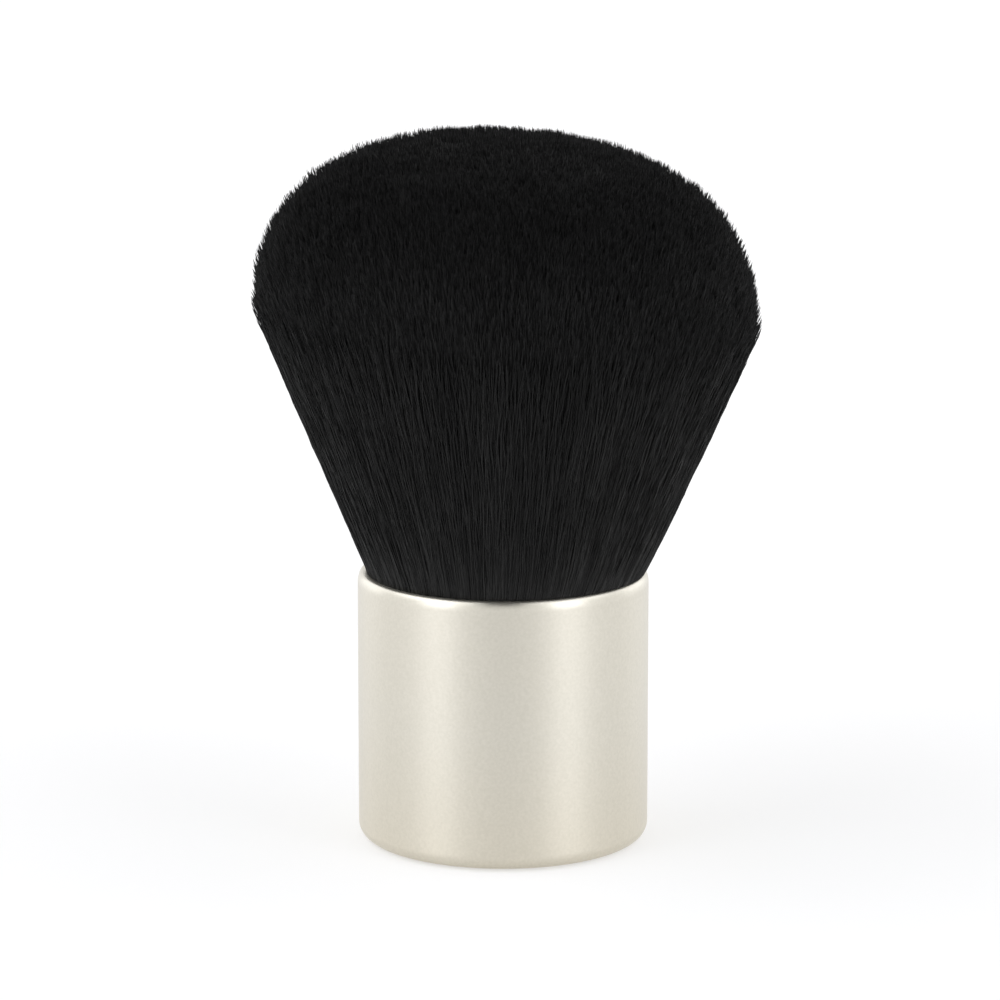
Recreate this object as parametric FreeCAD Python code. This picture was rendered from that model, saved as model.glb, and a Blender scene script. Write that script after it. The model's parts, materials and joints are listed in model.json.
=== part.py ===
import FreeCAD, Part
import math
import os

# Kabuki makeup brush standing on its base: a short metal handle with a wide, dense dome of bristles.
# Lengths are in millimetres. The base lies on Z = 0, and +Z runs up the axis to the crown of the tuft.

# Handle shell: a drawn aluminium cup with a rounded lip
handle_diameter = 28.0
handle_height = 26.2
shell_wall = 1.0
shell_floor = 1.2
base_edge_radius = 1.5
lip_radius = 0.8
floor_bevel = 0.6
lip_limit_share = 0.95

# Core insert: a plastic moulding glued into the shell, with a socket above and a weight pocket below
insert_clearance = 0.08
socket_wall = 2.0
socket_floor_thickness = 1.6
skirt_wall = 1.6
pocket_wall = 1.2
rib_span = 2.0
rib_thickness = 1.0
rib_count = 8
collar_rise = 2.2
mouth_clearance = 0.4
groove_width = 1.4
groove_depth = 0.5
groove_count = 2

# Weight slug: a steel disc trapped under the insert
pocket_clearance = 0.1
weight_chamfer = 0.5
chamfer_limit_share = 0.3

# Cured adhesive: beads in the insert's grooves, and the bed under the tuft ring
bond_gap = 0.02
seat_bed = 0.4

# Tuft ring: a drawn aluminium collar round the roots of the bristles
ring_depth = 7.5
ring_height = 8.0
ring_wall = 0.5
ring_bevel = 0.4
ring_clearance = 0.08
flange_width = 1.6

# Root plug and binding thread: the cast epoxy and the wound tie that hold the roots together
root_clearance = 0.05
plug_thickness = 2.0
binding_rise = 0.9
binding_height = 3.0
binding_thickness = 0.5
binding_crown = 0.15

# Bristle tuft: it fills the shell's mouth, spills over the lip, flares to a shoulder and closes in a dome
neck_depth = 2.0
neck_clearance = 0.12
lip_gap = 0.15
spill_rise = 0.55
lip_reveal = 0.35
tuft_diameter = 47.6
shoulder_rise = 25.1
shoulder_radius = 5.3
crown_rise = 42.3
crown_side_share = 0.66
crown_top_share = 0.63

# Radii that nest inside one another, from the outside in
handle_radius = handle_diameter / 2
shell_bore_radius = handle_radius - shell_wall
insert_radius = shell_bore_radius - insert_clearance
socket_radius = insert_radius - socket_wall
ring_radius = socket_radius - ring_clearance
ring_bore_radius = ring_radius - ring_wall
flange_hole_radius = ring_bore_radius - flange_width
root_radius = ring_bore_radius - root_clearance
waist_radius = root_radius - binding_thickness
skirt_bore_radius = insert_radius - skirt_wall
pocket_wall_radius = skirt_bore_radius - rib_span
pocket_radius = pocket_wall_radius - pocket_wall
weight_radius = pocket_radius - pocket_clearance
groove_radius = insert_radius - groove_depth
neck_radius = shell_bore_radius - neck_clearance
spill_radius = handle_radius - lip_reveal
tuft_radius = tuft_diameter / 2

# Levels that stack along the axis, from the lip down and then up
ring_top = handle_height - ring_depth
ring_bottom = ring_top - ring_height
ring_seat = ring_bottom + ring_wall
socket_floor = ring_bottom - seat_bed
pocket_roof = socket_floor - socket_floor_thickness
weight_top = pocket_roof - pocket_clearance
insert_top = ring_top + collar_rise
plug_top = ring_seat + plug_thickness
binding_bottom = plug_top + binding_rise
binding_top = binding_bottom + binding_height
neck_bottom = handle_height - neck_depth
spill_level = handle_height + spill_rise
shoulder_level = handle_height + shoulder_rise
crown_level = handle_height + crown_rise

AXIS = FreeCAD.Vector(0, 0, 1)
ORIGIN = FreeCAD.Vector(0, 0, 0)
FULL_TURN = 360


def at(radius, level):
    """A point of a half section, in the XZ plane."""
    return FreeCAD.Vector(radius, 0, level)


def line(start, end):
    return Part.LineSegment(start, end).toShape()


def path(points):
    """Straight edges from each point to the next."""
    return [line(start, end) for start, end in zip(points, points[1:])]


def corner(start, centre, end):
    """A round of less than half a turn, from start to end about centre."""
    radius = start.distanceToPoint(centre)
    outward = (start - centre) + (end - centre)
    middle = centre + outward.normalize() * radius
    return Part.Arc(start, middle, end).toShape()


def tangent_point(start, centre, radius):
    """Where a line from start touches the outer side of the round about centre."""
    towards = centre - start
    lean = math.atan2(towards.z, towards.x) - math.asin(radius / towards.Length)
    length = math.sqrt(towards.Length ** 2 - radius ** 2)
    return start + at(math.cos(lean), math.sin(lean)) * length


def bezier(poles):
    curve = Part.BezierCurve()
    curve.setPoles(poles)
    return curve.toShape()


def turned(edges):
    """The solid that a closed half section sweeps in a full turn about the axis."""
    return Part.Face(Part.Wire(edges)).revolve(ORIGIN, AXIS, FULL_TURN)


def turned_outline(points):
    """A turned solid whose half section has straight sides only."""
    return turned(path(points + points[:1]))


def bristle_radius(level):
    """Radius of the bristles between the ring that grips them and the neck where they fill the shell."""
    share = (level - ring_top) / (neck_bottom - ring_top)
    return root_radius + share * (neck_radius - root_radius)


def groove_spans():
    """Bottom and top level of each glue groove, spread evenly up the insert."""
    pitch = (insert_top - shell_floor) / (groove_count + 1)
    middles = [shell_floor + pitch * (index + 1) for index in range(groove_count)]
    return [(middle - groove_width / 2, middle + groove_width / 2) for middle in middles]


def make_handle_shell():
    lip = min(lip_radius, shell_wall * lip_limit_share)
    base_tangent = at(handle_radius - base_edge_radius, 0)
    wall_foot = at(handle_radius, base_edge_radius)
    wall_head = at(handle_radius, handle_height - lip)
    lip_crest = at(handle_radius - lip, handle_height)
    inside = [
        lip_crest,
        at(shell_bore_radius, handle_height),
        at(shell_bore_radius, shell_floor + floor_bevel),
        at(shell_bore_radius - floor_bevel, shell_floor),
        at(0, shell_floor),
        ORIGIN,
    ]
    return turned([
        line(ORIGIN, base_tangent),
        corner(base_tangent, at(handle_radius - base_edge_radius, base_edge_radius), wall_foot),
        line(wall_foot, wall_head),
        corner(wall_head, at(handle_radius - lip, handle_height - lip), lip_crest),
        *path(inside),
    ])


def make_insert_rib(angle):
    """One of the upright webs that tie the weight pocket to the skirt, rooted half-way into both walls."""
    start = pocket_wall_radius - pocket_wall / 2
    length = rib_span + pocket_wall / 2 + skirt_wall / 2
    height = pocket_roof - shell_floor + socket_floor_thickness / 2
    rib = Part.makeBox(length, rib_thickness, height, FreeCAD.Vector(start, -rib_thickness / 2, shell_floor))
    rib.rotate(ORIGIN, AXIS, angle)
    return rib


def make_core_insert():
    underside = [
        at(0, pocket_roof),
        at(pocket_radius, pocket_roof),
        at(pocket_radius, shell_floor),
        at(pocket_wall_radius, shell_floor),
        at(pocket_wall_radius, pocket_roof),
        at(skirt_bore_radius, pocket_roof),
        at(skirt_bore_radius, shell_floor),
    ]
    # The foot is bevelled with the shell's inside corner
    outside = [
        at(insert_radius - floor_bevel, shell_floor),
        at(insert_radius, shell_floor + floor_bevel),
    ]
    for bottom, top in groove_spans():
        outside += [
            at(insert_radius, bottom),
            at(groove_radius, bottom),
            at(groove_radius, top),
            at(insert_radius, top),
        ]
    # The mouth of the socket opens with the spreading bristles
    socket = [
        at(insert_radius, insert_top),
        at(bristle_radius(insert_top) + mouth_clearance, insert_top),
        at(socket_radius, ring_top),
        at(socket_radius, socket_floor),
        at(0, socket_floor),
    ]
    body = turned_outline(underside + outside + socket)
    ribs = [make_insert_rib(FULL_TURN * index / rib_count) for index in range(rib_count)]
    return body.fuse(ribs).removeSplitter()


def make_weight_slug():
    chamfer = min(weight_chamfer, (weight_top - shell_floor) * chamfer_limit_share)
    return turned_outline([
        at(0, shell_floor),
        at(weight_radius - chamfer, shell_floor),
        at(weight_radius, shell_floor + chamfer),
        at(weight_radius, weight_top - chamfer),
        at(weight_radius - chamfer, weight_top),
        at(0, weight_top),
    ])


def make_insert_adhesive():
    """A cured bead in each glue groove, reaching across to the shell."""
    inner = groove_radius + bond_gap
    outer = shell_bore_radius - bond_gap
    beads = []
    for bottom, top in groove_spans():
        low = bottom + bond_gap
        high = top - bond_gap
        beads.append(turned_outline([at(inner, low), at(outer, low), at(outer, high), at(inner, high)]))
    return Part.Compound(beads)


def make_seat_adhesive():
    radius = socket_radius - bond_gap
    return turned_outline([
        at(0, socket_floor),
        at(radius, socket_floor),
        at(radius, ring_bottom),
        at(0, ring_bottom),
    ])


def make_tuft_ring():
    return turned_outline([
        at(flange_hole_radius, ring_bottom),
        at(ring_radius - ring_bevel, ring_bottom),
        at(ring_radius, ring_bottom + ring_bevel),
        at(ring_radius, ring_top),
        at(ring_bore_radius, ring_top),
        at(ring_bore_radius, ring_seat),
        at(flange_hole_radius, ring_seat),
    ])


def make_root_plug():
    """Epoxy cast under the roots, keyed through the flange of the ring."""
    key_radius = flange_hole_radius - root_clearance
    return turned_outline([
        at(0, ring_bottom),
        at(key_radius, ring_bottom),
        at(key_radius, ring_seat),
        at(root_radius, ring_seat),
        at(root_radius, plug_top),
        at(0, plug_top),
    ])


def make_binding_thread():
    """The wound tie as one band, domed outside and sunk in the waist of the roots."""
    inner = waist_radius + bond_gap
    edge = root_radius - binding_crown
    low = binding_bottom + bond_gap
    high = binding_top - bond_gap
    dome = Part.Arc(at(edge, low), at(root_radius, (low + high) / 2), at(edge, high)).toShape()
    return turned([dome, *path([at(edge, high), at(inner, high), at(inner, low), at(edge, low)])])


def make_bristle_tuft():
    roots = [
        at(0, plug_top),
        at(root_radius, plug_top),
        at(root_radius, binding_bottom),
        at(waist_radius, binding_bottom),
        at(waist_radius, binding_top),
        at(root_radius, binding_top),
        at(root_radius, ring_top),
        at(neck_radius, neck_bottom),
        at(neck_radius, handle_height + lip_gap),
        at(spill_radius, spill_level),
    ]
    spill = roots[-1]
    shoulder = at(tuft_radius, shoulder_level)
    shoulder_centre = at(tuft_radius - shoulder_radius, shoulder_level)
    crown = at(0, crown_level)
    # The flank flares straight from the lip, and runs into the round of the shoulder
    flank_end = tangent_point(spill, shoulder_centre, shoulder_radius)
    # The dome leaves the shoulder upright, and crosses the axis level
    dome_height = crown_level - shoulder_level
    over_shoulder = at(tuft_radius, shoulder_level + dome_height * crown_side_share)
    beside_crown = at(tuft_radius * crown_top_share, crown_level)
    return turned([
        *path(roots + [flank_end]),
        corner(flank_end, shoulder_centre, shoulder),
        bezier([shoulder, over_shoulder, beside_crown, crown]),
        line(crown, roots[0]),
    ])


MAKERS = {
    "handle_shell": make_handle_shell,
    "core_insert": make_core_insert,
    "weight_slug": make_weight_slug,
    "insert_adhesive": make_insert_adhesive,
    "seat_adhesive": make_seat_adhesive,
    "tuft_ring": make_tuft_ring,
    "root_plug": make_root_plug,
    "binding_thread": make_binding_thread,
    "bristle_tuft": make_bristle_tuft,
}

os.makedirs("parts", exist_ok=True)
for name, make in MAKERS.items():
    shape = make()
    shape.exportStep(f"parts/{name}.step")
    print(f"{name}: {len(shape.Solids)} solid(s), {shape.Volume:.1f} mm3, valid {shape.isValid()}")
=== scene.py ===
import json
import math

import bpy
import numpy as np
from mathutils.kdtree import KDTree
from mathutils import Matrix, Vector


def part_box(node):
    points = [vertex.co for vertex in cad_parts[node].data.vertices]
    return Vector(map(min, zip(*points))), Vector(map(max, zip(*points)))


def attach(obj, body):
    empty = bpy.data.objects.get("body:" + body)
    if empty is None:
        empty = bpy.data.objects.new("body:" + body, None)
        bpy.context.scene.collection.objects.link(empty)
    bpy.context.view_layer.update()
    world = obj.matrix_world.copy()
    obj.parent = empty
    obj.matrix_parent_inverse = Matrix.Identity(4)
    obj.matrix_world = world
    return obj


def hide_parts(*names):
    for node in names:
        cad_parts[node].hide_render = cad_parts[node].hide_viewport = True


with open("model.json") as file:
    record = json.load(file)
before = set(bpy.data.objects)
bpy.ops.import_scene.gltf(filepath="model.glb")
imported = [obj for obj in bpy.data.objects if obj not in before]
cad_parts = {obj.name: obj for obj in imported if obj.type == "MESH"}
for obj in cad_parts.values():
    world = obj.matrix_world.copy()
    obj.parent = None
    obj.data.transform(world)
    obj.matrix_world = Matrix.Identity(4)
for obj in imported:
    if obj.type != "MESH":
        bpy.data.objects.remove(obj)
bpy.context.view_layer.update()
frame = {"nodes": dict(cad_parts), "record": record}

# Kabuki makeup brush: a satin metal cup that holds a flared, domed tuft of black bristles.
# Lengths are in metres. The brush stands on Z = 0, and the camera looks along +Y at its front.
MM = 0.001

# Handle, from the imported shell
_, shell_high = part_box("handle_shell")
HANDLE_RADIUS = shell_high.x
LIP_LEVEL = shell_high.z
WALL = 1.0 * MM
CUP_FLOOR = 1.2 * MM
FLOOR_BEVEL = 0.6 * MM
BASE_ROUND = 1.5 * MM
LIP_RUN = 0.5 * MM
LIP_DROP = 1.1 * MM
LIP_INNER_ROUND = 0.15 * MM
ROUND_STEPS = 10
LATHE_STEPS = 256
SHARP_ANGLE = math.radians(40)

# Tuft outline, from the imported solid: a straight flank, a rounded shoulder and a dome
_, tuft_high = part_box("bristle_tuft")
TUFT_RADIUS = tuft_high.x
CROWN_LEVEL = tuft_high.z
NECK_RADIUS = HANDLE_RADIUS - 1.0 * MM
SPILL_RADIUS = HANDLE_RADIUS - 0.35 * MM
SPILL_LEVEL = LIP_LEVEL + 0.55 * MM
SHOULDER_LEVEL = LIP_LEVEL + 25.1 * MM
SHOULDER_ROUND = 5.3 * MM
CROWN_SIDE_SHARE = 0.66
CROWN_TOP_SHARE = 0.63
DOME_STEPS = 60
PINCH_SPAN = 0.03 * MM
LIP_SPILL = 0.06 * MM
SPILL_SPAN = 0.35 * MM

# The bundle leans a little to +X, and its dome is cut aslant, higher at -X
LEAN_AT_LIP = 0.3 * MM
LEAN_ABOVE_LIP = 0.12 * MM
LEAN_SPAN = 1.5 * MM
LEAN_SLOPE = 0.017
CUT_START = SHOULDER_LEVEL - 3.0 * MM
CUT_SHIFT = 0.2 * MM
CUT_TILT = 0.04
CUT_RISE = 0.25 * MM
CUT_SWELL = 0.3 * MM
CORNER_SWELL = 0.3 * MM
CORNER_SPAN = 6.0 * MM
HALVINGS = 40

# Bristles
SEED = 20
LONG_COUNT = 13500
SHORT_COUNT = 84000
LONG_PIECES = 5
SHORT_PIECES = 8
LONG_INNER_SHARE = 0.955
LONG_OUTER_SHARE = 0.996
LONG_NECK_RISES = (-1.0 * MM, 0.02 * MM, 0.08 * MM, 0.6 * MM)
LONG_STATIONS = 9
TIP_LENGTH = 0.4 * MM
SHORT_DEPTHS = (8.0 * MM, 1.6 * MM, TIP_LENGTH, 0.0)
BRISTLE_RADIUS = 0.047 * MM
BRISTLE_RADIUS_SPREAD = 0.2
TIP_RADIUS_SHARE = 0.7
TAPER_LENGTH = 5.0 * MM
SIDES = 3
SHADE_COLUMNS = 48
COLUMN_MARGIN = 0.1

# Clumps that the bristles gather into towards their tips,
# and streaks that run up the flank and on over the dome
CLUMP_COUNT = 3200
CLUMP_PULL = 0.25
CLUMP_START = 9.0 * MM
CLUMP_POWER = 1.5
CLUMP_LENGTH_SPREAD = 0.1 * MM
STREAK_COUNT = 1400
STREAK_BIAS = 0.45
STREAK_LENGTH_SPREAD = 0.12 * MM

# How far short of the dome a bristle may end. Some on the flank end earlier, so that their tips thin out
SHORTFALL_AT_CROWN = 0.7 * MM
SHORTFALL_AT_RIM = 1.9 * MM
SHORTFALL_POWER = 1.6
FLANK_EARLY_END = 12.0 * MM
FLANK_EARLY_POWER = 2.6
RIM_SHARES = (0.25, 0.8)

# How far a bristle strays: sideways round the axis, and in waves once it is clear of the lip
DRIFT = 0.05
WAVE = 0.24 * MM
WAVE_LENGTHS = (8.0 * MM, 18.0 * MM)
FREE_RISE = 4.0 * MM

# A bristle's shade comes from its streak and from itself, and painted shade darkens it towards its tip
STREAK_SHADE_SHARE = 0.8
DARKEST_SHADE = 0.5
TIP_SHADE_DEPTHS = (0.0, TIP_LENGTH, 1.6 * MM, 9.0 * MM)
PAINTED_TIP_SHADES = (0.5, 0.68, 0.86, 1.0)

# Bristle colour: greys by height from lip to crown, times tints from the darkest shade to the lightest
# These greys are painted light and shade: lighter near the lip as painted light off the metal, darker over
# the dome as painted shade
BRISTLE_GREYS_AND_PAINTED_LIGHT = (
    (0.0, 0.043), (0.14, 0.031), (0.36, 0.031), (0.5, 0.033), (0.6, 0.036),
    (0.7, 0.036), (0.83, 0.021), (0.94, 0.014), (1.0, 0.01),
)
BRISTLE_TINTS = ((0.0, (0.25, 0.25, 0.26)), (1.0, (1.0, 1.0, 0.98)))
BRISTLE_ROUGHNESS = 0.55
BRISTLE_SPECULAR = 0.1

# Dark heart of the tuft, just under the bristles that show
CORE_SHARE = 0.955
CORE_COVER_AT_CROWN = 0.8 * MM
CORE_COVER_AT_RIM = 1.7 * MM
CORE_DEPTH = 1.5 * MM
CORE_FLANK_RINGS = 24
CORE_DOME_RINGS = 48
CORE_GREYS = ((0.3, 0.008), (0.7, 0.014))
CORE_ROUGHNESS = 0.7
CORE_GRAIN = 0.25 * MM
CORE_DETAIL = 2
CORE_STRETCH = (1, 1, 0.05)
CORE_BUMP = 0.6
CORE_BUMP_HEIGHT = 0.1 * MM

# Handle finish: warmer at the foot than from half its height up, a painted warm reflection, and smoother at
# the lip
HANDLE_TONES_AND_FOOT_REFLECTION = ((0.0, (0.7, 0.657, 0.56)), (0.5, (0.7, 0.67, 0.592)))
HANDLE_SPECKLE = ((0.3, (0.93, 0.93, 0.92)), (0.7, (1.0, 1.0, 1.0)))
HANDLE_GRAIN = 0.28 * MM
GRAIN_DETAIL = 3
HANDLE_BUMP = 0.03
HANDLE_BUMP_HEIGHT = 0.05 * MM
WALL_ROUGHNESS = 0.48
LIP_ROUGHNESS = 0.36
ANISOTROPY = 0.7
ANISOTROPY_TURN = 0.25

# Finish of the pieces hidden in the handle
METALS = ("aluminium", "brushed_steel")
INNER_ROUGHNESS = {"matte": 0.7, "satin": 0.4, "gloss": 0.2}
INNER_GRAIN = 0.3 * MM
INNER_CONTRAST = 0.06
INNER_BUMP = 0.1
INNER_RANGE = (0.3, 0.7)

# Camera, fitted to the photograph's rim and base curves
CAMERA_ELEVATION = math.radians(12.155)
CAMERA_DISTANCE = 510.4 * MM
CAMERA_SIDE = -0.302 * MM
CAMERA_RISE = 32.306 * MM
FOCAL_PIXELS = 5250
IMAGE_PIXELS = 1000
SENSOR = 36
CLIP_START = 0.01

# White setting: the world's light, a floor whose glow grows away from the brush, and a dark card
WORLD_LIGHT = 0.7
FLOOR_REACH = 3.0
FLOOR_LEVEL = -0.02 * MM
FLOOR_GREY = 0.55
GLOW_REACHES = (0.08, 0.5)
GLOW_STRENGTHS = (0.46, 0.64)
FLAG_CORNERS = ((-0.09, -0.3, 0.2), (0.09, -0.3, 0.2), (0.05, -0.05, 0.5), (-0.05, -0.05, 0.5))
FLAG_GREY = 0.03
STAGE_ROUGHNESS = 0.9

# Lamps: name, azimuth in degrees, rise, distance, width and height in metres, and power in watts
LAMP_COLOUR = (0.94, 0.95, 1.0)
LAMPS = (
    ("softbox_left", -52, 0.17, 0.55, 0.26, 0.34, 0.37),
    ("softbox_right", 52, 0.17, 0.55, 0.26, 0.34, 0.42),
    ("softbox_left_high", -75, 0.4, 0.33, 0.5, 0.36, 0.85),
    ("softbox_right_high", 75, 0.4, 0.33, 0.5, 0.36, 0.6),
    ("softbox_left_rear", -130, 0.2, 0.55, 0.4, 0.4, 0.34),
    ("softbox_right_rear", 130, 0.2, 0.55, 0.4, 0.4, 0.3),
)


# Meshes

def link(name, mesh):
    piece = bpy.data.objects.new(name, mesh)
    bpy.context.scene.collection.objects.link(piece)
    return piece


def arc(centre, start, end, run, rise=None):
    """Points of a round, from start to end in degrees; 0 is outwards and 90 up. A rise makes it oval."""
    rise = rise or run
    turns = np.radians(np.linspace(start, end, ROUND_STEPS + 1))
    return [(centre[0] + run * math.cos(turn), centre[1] + rise * math.sin(turn)) for turn in turns]


def ring_directions():
    """Unit directions round the axis, one for each step of a turned mesh."""
    turns = np.arange(LATHE_STEPS) * 2 * np.pi / LATHE_STEPS
    return np.stack((np.cos(turns), np.sin(turns)), axis=-1)


def skin(name, bottom, rings, top):
    """A closed mesh over rings of points, from the point under the first ring to the point on the last."""
    vertices = [*np.concatenate(rings).tolist(), bottom, top]
    last = (len(rings) - 1) * LATHE_STEPS
    faces = []
    for step in range(LATHE_STEPS):
        after = (step + 1) % LATHE_STEPS
        faces.append((len(vertices) - 2, after, step))
        for low in range(0, last, LATHE_STEPS):
            high = low + LATHE_STEPS
            faces.append((low + step, low + after, high + after, high + step))
        faces.append((last + step, last + after, len(vertices) - 1))
    mesh = bpy.data.meshes.new(name)
    mesh.from_pydata(vertices, [], faces)
    mesh.shade_smooth()
    mesh.set_sharp_from_angle(angle=SHARP_ANGLE)
    return link(name, mesh)


def lathe(name, outline):
    """A closed turned mesh. The outline is (radius, level) points, and starts and ends on the axis."""
    around = ring_directions()
    levels = np.ones((LATHE_STEPS, 1))
    rings = [np.hstack((radius * around, level * levels)) for radius, level in outline[1:-1]]
    return skin(name, (0, 0, outline[0][1]), rings, (0, 0, outline[-1][1]))


def strand_template(stations):
    """Triangles of one strand, with how far each corner lies across the strand's strip of the shade map."""
    corners = []
    across = []
    last = stations - 2
    tip = SIDES * (stations - 1)
    for station in range(stations - 1):
        for side in range(SIDES):
            a = station * SIDES + side
            b = station * SIDES + (side + 1) % SIDES
            if station == last:
                corners.append((a, b, tip))
                across.append((0, 1, 0.5))
                continue
            corners += [(a, b, b + SIDES), (a, b + SIDES, a + SIDES)]
            across += [(0, 1, 1), (0, 1, 0)]
    corners.append((0, 2, 1))
    across.append((0, 1, 0.5))
    return np.array(corners), np.array(across)


def unit(vectors):
    return vectors / np.linalg.norm(vectors, axis=-1, keepdims=True)


def strands(name, points, radii, shades, roll):
    """Thin three-sided tubes along the points, each closed by a cap at its root and a point at its tip.

    The shade map holds each station's shade across, with painted shade darker towards the tip, and its
    height up the tuft.
    """
    count, stations, _ = points.shape
    along = unit(points[:, -1] - points[:, 0])
    across = unit(np.cross(along, (0.0, 1.0, 0.0)))
    other = np.cross(along, across)
    turns = roll[:, None] + np.arange(SIDES) * 2 * np.pi / SIDES
    spokes = np.cos(turns)[..., None] * across[:, None] + np.sin(turns)[..., None] * other[:, None]
    rings = points[:, :-1, None] + radii[:, :-1, None, None] * spokes[:, None]
    vertices = np.concatenate((rings.reshape(count, -1, 3), points[:, -1:]), axis=1)

    corners, inset = strand_template(stations)
    triangles = (np.arange(count) * vertices.shape[1])[:, None, None] + corners
    station = corners // SIDES
    column = np.floor(shades * SHADE_COLUMNS)
    inset = COLUMN_MARGIN + (1 - 2 * COLUMN_MARGIN) * inset
    height = (points[..., 2] - LIP_LEVEL) / (CROWN_LEVEL - LIP_LEVEL)
    shade_map = np.empty((*triangles.shape, 2))
    shade_map[..., 0] = (column[:, station] + inset) / SHADE_COLUMNS
    shade_map[..., 1] = height.clip(0, 1)[:, station]

    mesh = bpy.data.meshes.new(name)
    mesh.vertices.add(vertices.size // 3)
    mesh.vertices.foreach_set("co", vertices.ravel())
    mesh.loops.add(triangles.size)
    mesh.loops.foreach_set("vertex_index", triangles.ravel())
    mesh.polygons.add(triangles.size // 3)
    mesh.polygons.foreach_set("loop_start", np.arange(0, triangles.size, 3))
    mesh.update(calc_edges=True)
    mesh.uv_layers.new(name="OFBake").data.foreach_set("uv", shade_map.ravel())
    mesh.shade_smooth()
    return link(name, mesh)


# The shape of the tuft

def tuft_outline():
    """Levels and radii up the tuft, from where it spills over the lip to its crown."""
    centre = TUFT_RADIUS - SHOULDER_ROUND
    run = centre - SPILL_RADIUS
    rise = SHOULDER_LEVEL - SPILL_LEVEL
    lean = math.atan2(rise, run) - math.asin(SHOULDER_ROUND / math.hypot(run, rise))
    shoulder = np.array(arc((centre, SHOULDER_LEVEL), math.degrees(lean) - 90, 0, SHOULDER_ROUND))
    t = np.linspace(0, 1, DOME_STEPS)[1:]
    dome_rise = CROWN_LEVEL - SHOULDER_LEVEL
    dome_radius = (1 - t) ** 3 + 3 * t * (1 - t) ** 2 + 3 * CROWN_TOP_SHARE * t ** 2 * (1 - t)
    dome_share = 3 * CROWN_SIDE_SHARE * t * (1 - t) ** 2 + 3 * t ** 2 * (1 - t) + t ** 3
    radii = np.concatenate(([SPILL_RADIUS], shoulder[:, 0], TUFT_RADIUS * dome_radius))
    levels = np.concatenate(([SPILL_LEVEL], shoulder[:, 1], SHOULDER_LEVEL + dome_rise * dome_share))
    return levels, radii


OUTLINE_LEVELS, OUTLINE_RADII = tuft_outline()
FLANK_SLOPE = (OUTLINE_RADII[1] - OUTLINE_RADII[0]) / (OUTLINE_LEVELS[1] - OUTLINE_LEVELS[0])


def bundle_radius(level):
    """Radius of the fan of bristles, pinched by the lip and not yet cut by the dome."""
    fan = SPILL_RADIUS + FLANK_SLOPE * (level - SPILL_LEVEL)
    fan_at_lip = SPILL_RADIUS + FLANK_SLOPE * (LIP_LEVEL - SPILL_LEVEL)
    rise = np.maximum(level - LIP_LEVEL, 0)
    pinch = (fan_at_lip + LIP_SPILL - NECK_RADIUS) * np.exp(-rise / PINCH_SPAN)
    return np.where(level > LIP_LEVEL, fan + LIP_SPILL * np.exp(-rise / SPILL_SPAN) - pinch, NECK_RADIUS)


def bundle_lean(level):
    """Sideways shift of the bundle at a level."""
    rise = np.maximum(level - LIP_LEVEL, 0)
    at_lip = LEAN_AT_LIP * (1 - np.exp(-rise / PINCH_SPAN))
    return at_lip + LEAN_ABOVE_LIP * (1 - np.exp(-rise / LEAN_SPAN)) + LEAN_SLOPE * rise


def bundle_place(disc, level):
    """Points of bristles at a level. A bristle's disc is its place in the bundle's round, from -1 to 1."""
    radius = bundle_radius(level)
    x = disc[..., 0] * radius + bundle_lean(level)
    y = disc[..., 1] * radius
    return np.stack((x, y, level), axis=-1)


def tip_level(disc):
    """Level at which each bristle reaches the dome, by halving the range that holds it."""
    low = np.full(len(disc), CUT_START)
    high = np.full(len(disc), CROWN_LEVEL + TUFT_RADIUS * CUT_TILT)
    for _ in range(HALVINGS):
        middle = (low + high) / 2
        place = bundle_place(disc, middle)
        reach = np.hypot(place[:, 0] - CUT_SHIFT, place[:, 1])
        upright_level = middle + CUT_TILT * place[:, 0] - CUT_RISE
        limit = np.interp(upright_level, OUTLINE_LEVELS, OUTLINE_RADII)
        corner = CORNER_SWELL * np.clip(1 - (middle - CUT_START) / CORNER_SPAN, 0, 1)
        outside = reach > limit + CUT_SWELL * limit / TUFT_RADIUS + corner
        high = np.where(outside, middle, high)
        low = np.where(outside, low, middle)
    return low


def towards_rim(disc, at_crown, at_rim):
    """A length that changes smoothly from the middle of the dome to its rim."""
    inner, outer = RIM_SHARES
    share = np.clip((np.hypot(disc[:, 0], disc[:, 1]) - inner) / (outer - inner), 0, 1)
    return at_crown + (at_rim - at_crown) * share ** 2 * (3 - 2 * share)


class Groups:
    """Places in the bundle's round, each with the bristles nearest to it.

    A bias under 1 draws the groups out towards the middle.
    """

    def __init__(self, rng, count, bias, length_spread):
        self.bias = bias
        self.centre = round_places(rng, count, 0, 1)
        self.length = rng.normal(0, length_spread, count)
        self.pull = rng.uniform(0, CLUMP_PULL, count)
        self.shade = rng.uniform(0, 1, count)
        self.tree = KDTree(count)
        for index, (x, y) in enumerate(self.centre):
            self.tree.insert((x, y, 0), index)
        self.tree.balance()

    def of(self, disc):
        """Index of the place that each bristle belongs to."""
        share = np.hypot(disc[:, 0], disc[:, 1])[:, None]
        return np.array([self.tree.find((x, y, 0))[1] for x, y in disc * share ** (self.bias - 1)])


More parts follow.
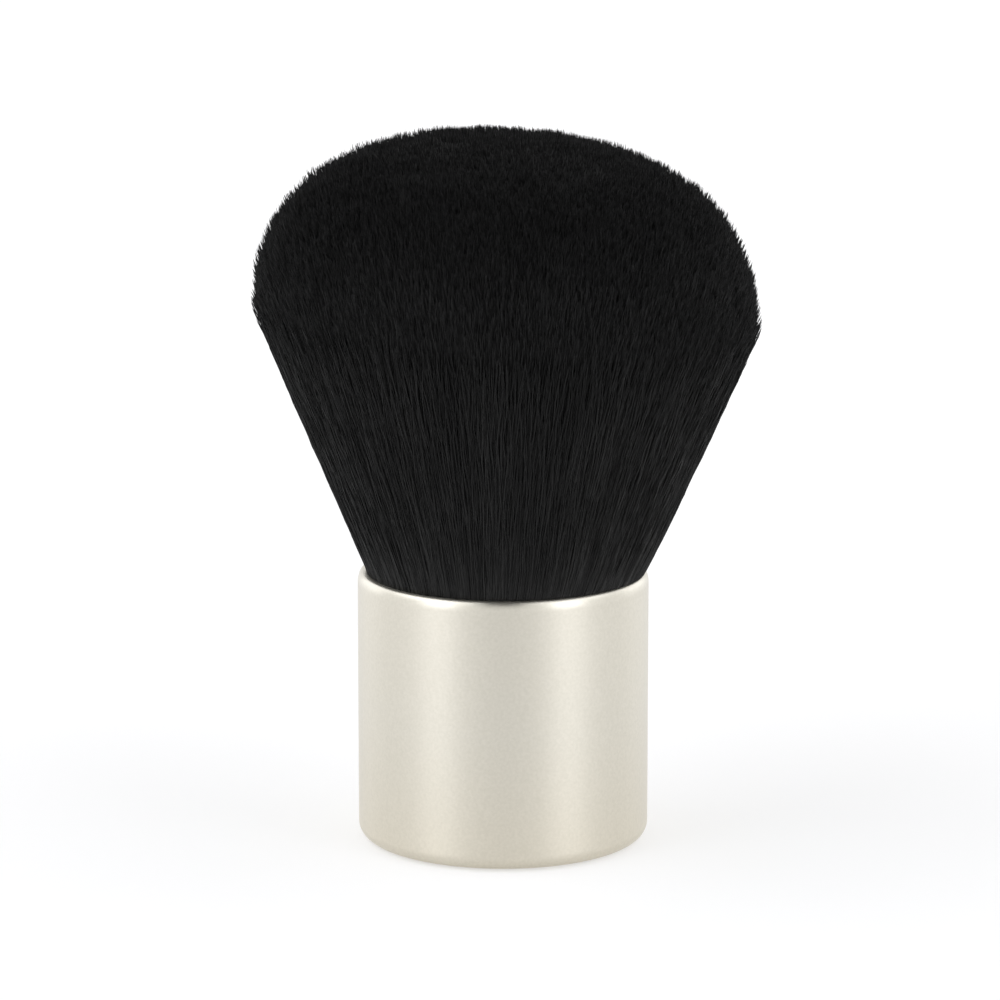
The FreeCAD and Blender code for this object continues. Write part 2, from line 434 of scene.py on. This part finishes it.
def grow(rng, clumps, streaks, disc, levels_from, early_end):
    """Points, radii, shades and rolls of bristles.

    levels_from gives their stations up to their tips, which may fall short by early_end more.
    """
    count = len(disc)
    clump = clumps.of(disc)
    streak = streaks.of(disc)
    centre = clumps.centre[clump]
    shortfall = towards_rim(disc, SHORTFALL_AT_CROWN, SHORTFALL_AT_RIM)
    shortfall *= rng.uniform(0, 1, count) ** SHORTFALL_POWER
    shortfall += early_end * rng.uniform(0, 1, count) ** FLANK_EARLY_POWER
    tip = tip_level(disc) + clumps.length[clump] + streaks.length[streak] - shortfall
    level = levels_from(tip)
    depth = tip[:, None] - level
    pull = clumps.pull[clump][:, None] * np.clip(1 - depth / CLUMP_START, 0, 1) ** CLUMP_POWER
    phase = rng.uniform(0, 2 * np.pi, (count, 1, 2))
    wave_length = rng.uniform(*WAVE_LENGTHS, (count, 1, 1))
    sway = np.sin(2 * np.pi * level[..., None] / wave_length + phase) * WAVE / TUFT_RADIUS
    freedom = np.clip((level - LIP_LEVEL) / FREE_RISE, 0, 1)[..., None]
    gathered = disc[:, None] + pull[..., None] * (centre - disc)[:, None] + sway * freedom
    height = np.clip((level - LIP_LEVEL) / (CROWN_LEVEL - LIP_LEVEL), 0, 1)
    drift = rng.normal(0, DRIFT, (count, 1)) * height
    crossed = gathered + drift[..., None] * np.stack((-gathered[..., 1], gathered[..., 0]), axis=-1)
    points = bundle_place(crossed, level)
    thickness = BRISTLE_RADIUS * (1 + BRISTLE_RADIUS_SPREAD * rng.uniform(-1, 1, count))
    taper = np.clip(depth / TAPER_LENGTH, 0, 1)
    radii = thickness[:, None] * (TIP_RADIUS_SHARE + (1 - TIP_RADIUS_SHARE) * taper)
    own_shade = rng.uniform(0, 1, count)
    shade = STREAK_SHADE_SHARE * streaks.shade[streak] + (1 - STREAK_SHADE_SHARE) * own_shade
    # Painted shade: a bristle's colour darkens towards its tip
    fade = np.interp(depth, TIP_SHADE_DEPTHS, PAINTED_TIP_SHADES)
    shades = (DARKEST_SHADE + (1 - DARKEST_SHADE) * shade)[:, None] * fade
    roll = rng.uniform(0, 2 * np.pi, count)
    return points, radii, shades, roll


def round_places(rng, count, inner, outer):
    """Places spread evenly over a ring of the bundle's round, in order of their direction."""
    share = np.sqrt(rng.uniform(inner ** 2, outer ** 2, count))
    turn = np.sort(rng.uniform(-np.pi, np.pi, count))
    return np.stack((share * np.cos(turn), share * np.sin(turn)), axis=-1)


def long_levels(tip):
    """Stations of a bristle that shows from the lip to its tip."""
    start = LIP_LEVEL + LONG_NECK_RISES[-1]
    neck = np.broadcast_to(LIP_LEVEL + np.array(LONG_NECK_RISES), (len(tip), len(LONG_NECK_RISES)))
    shares = np.linspace(0, 1, LONG_STATIONS)[1:]
    run = start + (tip - TIP_LENGTH - start)[:, None] * shares
    return np.concatenate((neck, run, tip[:, None]), axis=1)


def short_levels(tip):
    """Stations of a bristle that shows only near the dome."""
    return tip[:, None] - np.array(SHORT_DEPTHS)


# Materials

def new_material(name):
    material = bpy.data.materials.new(name)
    material.use_nodes = True
    nodes = material.node_tree.nodes
    return material, nodes, material.node_tree.links, nodes["Principled BSDF"]


def grey_stops(stops):
    return [(position, (grey, grey, grey)) for position, grey in stops]


def noise_node(nodes, links, grain, detail, stretch=(1, 1, 1)):
    """Noise with a grain of a given size, over the object's own coordinates."""
    place = nodes.new("ShaderNodeTexCoord")
    mapping = nodes.new("ShaderNodeMapping")
    mapping.inputs["Scale"].default_value = stretch
    noise = nodes.new("ShaderNodeTexNoise")
    noise.inputs["Scale"].default_value = 1 / grain
    noise.inputs["Detail"].default_value = detail
    links.new(place.outputs["Object"], mapping.inputs["Vector"])
    links.new(mapping.outputs["Vector"], noise.inputs["Vector"])
    return noise


def ramp_node(nodes, links, source, stops):
    ramp = nodes.new("ShaderNodeValToRGB")
    ramp.color_ramp.elements[0].position = stops[0][0]
    ramp.color_ramp.elements[0].color = (*stops[0][1], 1)
    ramp.color_ramp.elements[1].position = stops[-1][0]
    ramp.color_ramp.elements[1].color = (*stops[-1][1], 1)
    for position, colour in stops[1:-1]:
        ramp.color_ramp.elements.new(position).color = (*colour, 1)
    links.new(source, ramp.inputs["Fac"])
    return ramp


def bump_node(nodes, links, height, strength, distance):
    bump = nodes.new("ShaderNodeBump")
    bump.inputs["Strength"].default_value = strength
    bump.inputs["Distance"].default_value = distance
    links.new(height, bump.inputs["Height"])
    return bump


def multiply_node(nodes, links, first, second):
    """The product of two ramps' colours."""
    mix = nodes.new("ShaderNodeMix")
    mix.data_type = "RGBA"
    mix.blend_type = "MULTIPLY"
    mix.inputs["Factor"].default_value = 1.0
    links.new(first.outputs["Color"], mix.inputs["A"])
    links.new(second.outputs["Color"], mix.inputs["B"])
    return mix


def inner_material(name, colour, metallic, roughness):
    """A plain finish with a fine grain in its colour and surface."""
    material, nodes, links, shader = new_material(name)
    noise = noise_node(nodes, links, INNER_GRAIN, GRAIN_DETAIL)
    dark = [channel * (1 - INNER_CONTRAST) for channel in colour]
    light = [min(channel * (1 + INNER_CONTRAST), 1) for channel in colour]
    ramp = ramp_node(nodes, links, noise.outputs["Fac"], list(zip(INNER_RANGE, (dark, light))))
    links.new(ramp.outputs["Color"], shader.inputs["Base Color"])
    relief = bump_node(nodes, links, noise.outputs["Fac"], INNER_BUMP, INNER_GRAIN)
    links.new(relief.outputs["Normal"], shader.inputs["Normal"])
    shader.inputs["Metallic"].default_value = metallic
    shader.inputs["Roughness"].default_value = roughness
    return material


def handle_material():
    """Blasted aluminium, champagne in tone, with a painted warm reflection at its foot, a sheen drawn out
    up the wall and a smoother lip.
    """
    material, nodes, links, shader = new_material("satin_aluminium")
    place = nodes.new("ShaderNodeTexCoord")
    parts = nodes.new("ShaderNodeSeparateXYZ")
    links.new(place.outputs["Object"], parts.inputs["Vector"])

    # Painted reflection: the colour grows warmer towards the foot
    foot_reflection = nodes.new("ShaderNodeMapRange")
    foot_reflection.inputs["From Max"].default_value = LIP_LEVEL
    links.new(parts.outputs["Z"], foot_reflection.inputs["Value"])
    tone = ramp_node(nodes, links, foot_reflection.outputs["Result"], HANDLE_TONES_AND_FOOT_REFLECTION)
    grain = noise_node(nodes, links, HANDLE_GRAIN, GRAIN_DETAIL)
    speckle = ramp_node(nodes, links, grain.outputs["Fac"], HANDLE_SPECKLE)
    mix = multiply_node(nodes, links, tone, speckle)
    links.new(mix.outputs["Result"], shader.inputs["Base Color"])

    polish = nodes.new("ShaderNodeMapRange")
    polish.inputs["From Min"].default_value = LIP_LEVEL - LIP_DROP
    polish.inputs["From Max"].default_value = LIP_LEVEL - LIP_DROP / 2
    polish.inputs["To Min"].default_value = WALL_ROUGHNESS
    polish.inputs["To Max"].default_value = LIP_ROUGHNESS
    links.new(parts.outputs["Z"], polish.inputs["Value"])
    links.new(polish.outputs["Result"], shader.inputs["Roughness"])
    relief = bump_node(nodes, links, grain.outputs["Fac"], HANDLE_BUMP, HANDLE_BUMP_HEIGHT)
    links.new(relief.outputs["Normal"], shader.inputs["Normal"])
    turning = nodes.new("ShaderNodeTangent")
    turning.direction_type = "RADIAL"
    turning.axis = "Z"
    links.new(turning.outputs["Tangent"], shader.inputs["Tangent"])
    shader.inputs["Metallic"].default_value = 1.0
    shader.inputs["Anisotropic"].default_value = ANISOTROPY
    shader.inputs["Anisotropic Rotation"].default_value = ANISOTROPY_TURN
    return material


def bristle_material():
    """Black fibre with painted light and shade: the shade map gives a bristle's shade across, which painted
    shade darkens towards its tip, and its height up the tuft, along which the greys are lighter near the
    lip as painted light and darker over the dome as painted shade.
    """
    material, nodes, links, shader = new_material("black_bristle")
    shade_map = nodes.new("ShaderNodeUVMap")
    shade_map.uv_map = "OFBake"
    parts = nodes.new("ShaderNodeSeparateXYZ")
    links.new(shade_map.outputs["UV"], parts.inputs["Vector"])
    # Painted light and shade by height: lighter near the lip, darker over the dome
    tone = ramp_node(nodes, links, parts.outputs["Y"], grey_stops(BRISTLE_GREYS_AND_PAINTED_LIGHT))
    tint = ramp_node(nodes, links, parts.outputs["X"], BRISTLE_TINTS)
    mix = multiply_node(nodes, links, tone, tint)
    links.new(mix.outputs["Result"], shader.inputs["Base Color"])
    shader.inputs["Roughness"].default_value = BRISTLE_ROUGHNESS
    shader.inputs["Specular IOR Level"].default_value = BRISTLE_SPECULAR
    return material


def core_material():
    """The black depth between the bristles, streaked the way that they run."""
    material, nodes, links, shader = new_material("bristle_depth")
    noise = noise_node(nodes, links, CORE_GRAIN, CORE_DETAIL, CORE_STRETCH)
    ramp = ramp_node(nodes, links, noise.outputs["Fac"], grey_stops(CORE_GREYS))
    links.new(ramp.outputs["Color"], shader.inputs["Base Color"])
    relief = bump_node(nodes, links, noise.outputs["Fac"], CORE_BUMP, CORE_BUMP_HEIGHT)
    links.new(relief.outputs["Normal"], shader.inputs["Normal"])
    shader.inputs["Roughness"].default_value = CORE_ROUGHNESS
    shader.inputs["Specular IOR Level"].default_value = BRISTLE_SPECULAR
    return material


def finish(piece, material, slot, *nodes):
    """Gives a piece its material, and puts it on the brush in place of CAD nodes. The slot is not used."""
    piece.data.materials.clear()
    piece.data.materials.append(material)
    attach(piece, "root")
    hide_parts(*nodes)


# Pieces

def make_handle():
    bore = HANDLE_RADIUS - WALL
    outline = [(0, 0)]
    outline += arc((HANDLE_RADIUS - BASE_ROUND, BASE_ROUND), -90, 0, BASE_ROUND)
    outline += arc((HANDLE_RADIUS - LIP_RUN, LIP_LEVEL - LIP_DROP), 0, 90, LIP_RUN, LIP_DROP)
    outline += arc((bore + LIP_INNER_ROUND, LIP_LEVEL - LIP_INNER_ROUND), 90, 180, LIP_INNER_ROUND)
    outline += [(bore, CUP_FLOOR + FLOOR_BEVEL), (bore - FLOOR_BEVEL, CUP_FLOOR), (0, CUP_FLOOR)]
    handle = lathe("handle_cup", outline)
    finish(handle, handle_material(), "satin_aluminium", "handle_shell")


def core_level(disc):
    return tip_level(disc) - towards_rim(disc, CORE_COVER_AT_CROWN, CORE_COVER_AT_RIM)


def make_core():
    """Rings up the flank to just under the tips there, and then inwards under the dome."""
    edge = CORE_SHARE * ring_directions()
    base = LIP_LEVEL - CORE_DEPTH
    shoulder = core_level(edge)
    rings = [bundle_place(edge, np.full(LATHE_STEPS, base))]
    for share in np.linspace(0, 1, CORE_FLANK_RINGS + 1):
        rings.append(bundle_place(edge, LIP_LEVEL + share * (shoulder - LIP_LEVEL)))
    for share in np.linspace(1, 0, CORE_DOME_RINGS + 1)[1:-1]:
        rings.append(bundle_place(share * edge, core_level(share * edge)))
    middle = np.zeros((1, 2))
    crown = bundle_place(middle, core_level(middle))[0].tolist()
    core = skin("bristle_core", (0, 0, base), rings, crown)
    finish(core, core_material(), "black_bristle", "bristle_tuft")


def make_bristles():
    rng = np.random.default_rng(SEED)
    clumps = Groups(rng, CLUMP_COUNT, 1, CLUMP_LENGTH_SPREAD)
    streaks = Groups(rng, STREAK_COUNT, STREAK_BIAS, STREAK_LENGTH_SPREAD)
    material = bristle_material()
    long_places = round_places(rng, LONG_COUNT, LONG_INNER_SHARE, LONG_OUTER_SHARE)
    short_places = round_places(rng, SHORT_COUNT, 0, LONG_INNER_SHARE)
    groups = (
        ("bristles_flank", LONG_PIECES, long_places, long_levels, FLANK_EARLY_END),
        ("bristles_dome", SHORT_PIECES, short_places, short_levels, 0),
    )
    for name, pieces, places, levels_from, early_end in groups:
        for index, disc in enumerate(np.array_split(places, pieces)):
            bristles = grow(rng, clumps, streaks, disc, levels_from, early_end)
            piece = strands(f"{name}_{index + 1}", *bristles)
            finish(piece, material, "black_bristle", "bristle_tuft")


def dress_inner_nodes():
    """The pieces hidden in the handle keep their solids, with a grained finish in the record's colours."""
    finishes = {}
    for slot in frame["record"]["materials"]:
        metallic = 1.0 if slot["class"] in METALS else 0.0
        roughness = INNER_ROUGHNESS[slot["finish"]]
        name = slot["slot"]
        finishes[name] = inner_material("inner_" + name, slot["base_color"], metallic, roughness)
    for subpart in frame["record"]["subparts"]:
        node = frame["nodes"][subpart["node"]]
        node.data.materials.clear()
        node.data.materials.append(finishes[subpart["material_slot"]])


# Setting

def background_ray(nodes, links):
    """One for rays that see the white background: straight from the camera, reflected or refracted."""
    path = nodes.new("ShaderNodeLightPath")
    first = nodes.new("ShaderNodeMath")
    first.operation = "ADD"
    second = nodes.new("ShaderNodeMath")
    second.operation = "ADD"
    second.use_clamp = True
    links.new(path.outputs["Is Camera Ray"], first.inputs[0])
    links.new(path.outputs["Is Glossy Ray"], first.inputs[1])
    links.new(first.outputs[0], second.inputs[0])
    links.new(path.outputs["Is Transmission Ray"], second.inputs[1])
    return second.outputs[0]


def make_world():
    world = bpy.data.worlds.new("studio")
    bpy.context.scene.world = world
    world.use_nodes = True
    nodes = world.node_tree.nodes
    links = world.node_tree.links
    light = nodes["Background"]
    light.inputs["Color"].default_value = (1, 1, 1, 1)
    light.inputs["Strength"].default_value = WORLD_LIGHT
    white = nodes.new("ShaderNodeBackground")
    white.inputs["Color"].default_value = (1, 1, 1, 1)
    white.inputs["Strength"].default_value = 1.0
    mix = nodes.new("ShaderNodeMixShader")
    links.new(background_ray(nodes, links), mix.inputs[0])
    links.new(light.outputs[0], mix.inputs[1])
    links.new(white.outputs[0], mix.inputs[2])
    links.new(mix.outputs[0], nodes["World Output"].inputs["Surface"])


def make_floor():
    """A pale floor that glows for the rays that see the background, and keeps the brush's shadow."""
    mesh = bpy.data.meshes.new("floor")
    signs = ((-1, -1), (1, -1), (1, 1), (-1, 1))
    corners = [(x * FLOOR_REACH, y * FLOOR_REACH, FLOOR_LEVEL) for x, y in signs]
    mesh.from_pydata(corners, [], [(0, 1, 2, 3)])
    floor = link("floor", mesh)
    material, nodes, links, shader = new_material("pale_floor")
    shader.inputs["Base Color"].default_value = (FLOOR_GREY, FLOOR_GREY, FLOOR_GREY, 1)
    shader.inputs["Roughness"].default_value = STAGE_ROUGHNESS
    shader.inputs["Specular IOR Level"].default_value = 0.0
    place = nodes.new("ShaderNodeTexCoord")
    reach = nodes.new("ShaderNodeVectorMath")
    reach.operation = "LENGTH"
    fade = nodes.new("ShaderNodeMapRange")
    fade.inputs["From Min"].default_value = GLOW_REACHES[0]
    fade.inputs["From Max"].default_value = GLOW_REACHES[1]
    fade.inputs["To Min"].default_value = GLOW_STRENGTHS[0]
    fade.inputs["To Max"].default_value = GLOW_STRENGTHS[1]
    lift = nodes.new("ShaderNodeMath")
    lift.operation = "MULTIPLY"
    glow = nodes.new("ShaderNodeEmission")
    links.new(place.outputs["Object"], reach.inputs[0])
    links.new(reach.outputs["Value"], fade.inputs["Value"])
    links.new(fade.outputs["Result"], lift.inputs[0])
    links.new(background_ray(nodes, links), lift.inputs[1])
    links.new(lift.outputs[0], glow.inputs["Strength"])
    both = nodes.new("ShaderNodeAddShader")
    links.new(shader.outputs[0], both.inputs[0])
    links.new(glow.outputs[0], both.inputs[1])
    links.new(both.outputs[0], nodes["Material Output"].inputs["Surface"])
    mesh.materials.append(material)


def make_flag():
    """A dark card above the brush's front, out of the picture, which the lip mirrors at its middle."""
    mesh = bpy.data.meshes.new("flag")
    mesh.from_pydata(FLAG_CORNERS, [], [(0, 1, 2, 3)])
    flag = link("flag", mesh)
    material, _, _, shader = new_material("dark_card")
    shader.inputs["Base Color"].default_value = (FLAG_GREY, FLAG_GREY, FLAG_GREY, 1)
    shader.inputs["Roughness"].default_value = STAGE_ROUGHNESS
    mesh.materials.append(material)
    flag.visible_camera = False


def make_softbox(name, azimuth, rise, distance, width, height, power):
    """A soft lamp round the brush: azimuth 0 is the camera's side, and the lamp faces the handle's lip."""
    lamp = bpy.data.lights.new(name, "AREA")
    lamp.shape = "RECTANGLE"
    lamp.size = width
    lamp.size_y = height
    lamp.energy = power
    lamp.color = LAMP_COLOUR
    holder = bpy.data.objects.new(name, lamp)
    bpy.context.scene.collection.objects.link(holder)
    turn = math.radians(azimuth)
    holder.location = (distance * math.sin(turn), -distance * math.cos(turn), rise)
    tilt = math.atan2(rise - LIP_LEVEL, distance)
    holder.rotation_euler = (math.pi / 2 - tilt, 0, turn)
    holder.visible_camera = False


def make_camera():
    camera = bpy.data.cameras.new("camera")
    camera.sensor_width = SENSOR
    camera.lens = SENSOR * FOCAL_PIXELS / IMAGE_PIXELS
    camera.clip_start = CLIP_START
    holder = bpy.data.objects.new("camera", camera)
    bpy.context.scene.collection.objects.link(holder)
    sine = math.sin(CAMERA_ELEVATION)
    cosine = math.cos(CAMERA_ELEVATION)
    holder.location = (
        CAMERA_SIDE,
        CAMERA_RISE * sine - CAMERA_DISTANCE * cosine,
        CAMERA_RISE * cosine + CAMERA_DISTANCE * sine,
    )
    holder.rotation_euler = (math.pi / 2 - CAMERA_ELEVATION, 0, 0)
    bpy.context.scene.camera = holder


dress_inner_nodes()
make_handle()
make_core()
make_bristles()
make_world()
make_floor()
make_flag()
for settings in LAMPS:
    make_softbox(*settings)
make_camera()
bpy.context.scene.view_settings.view_transform = "Standard"
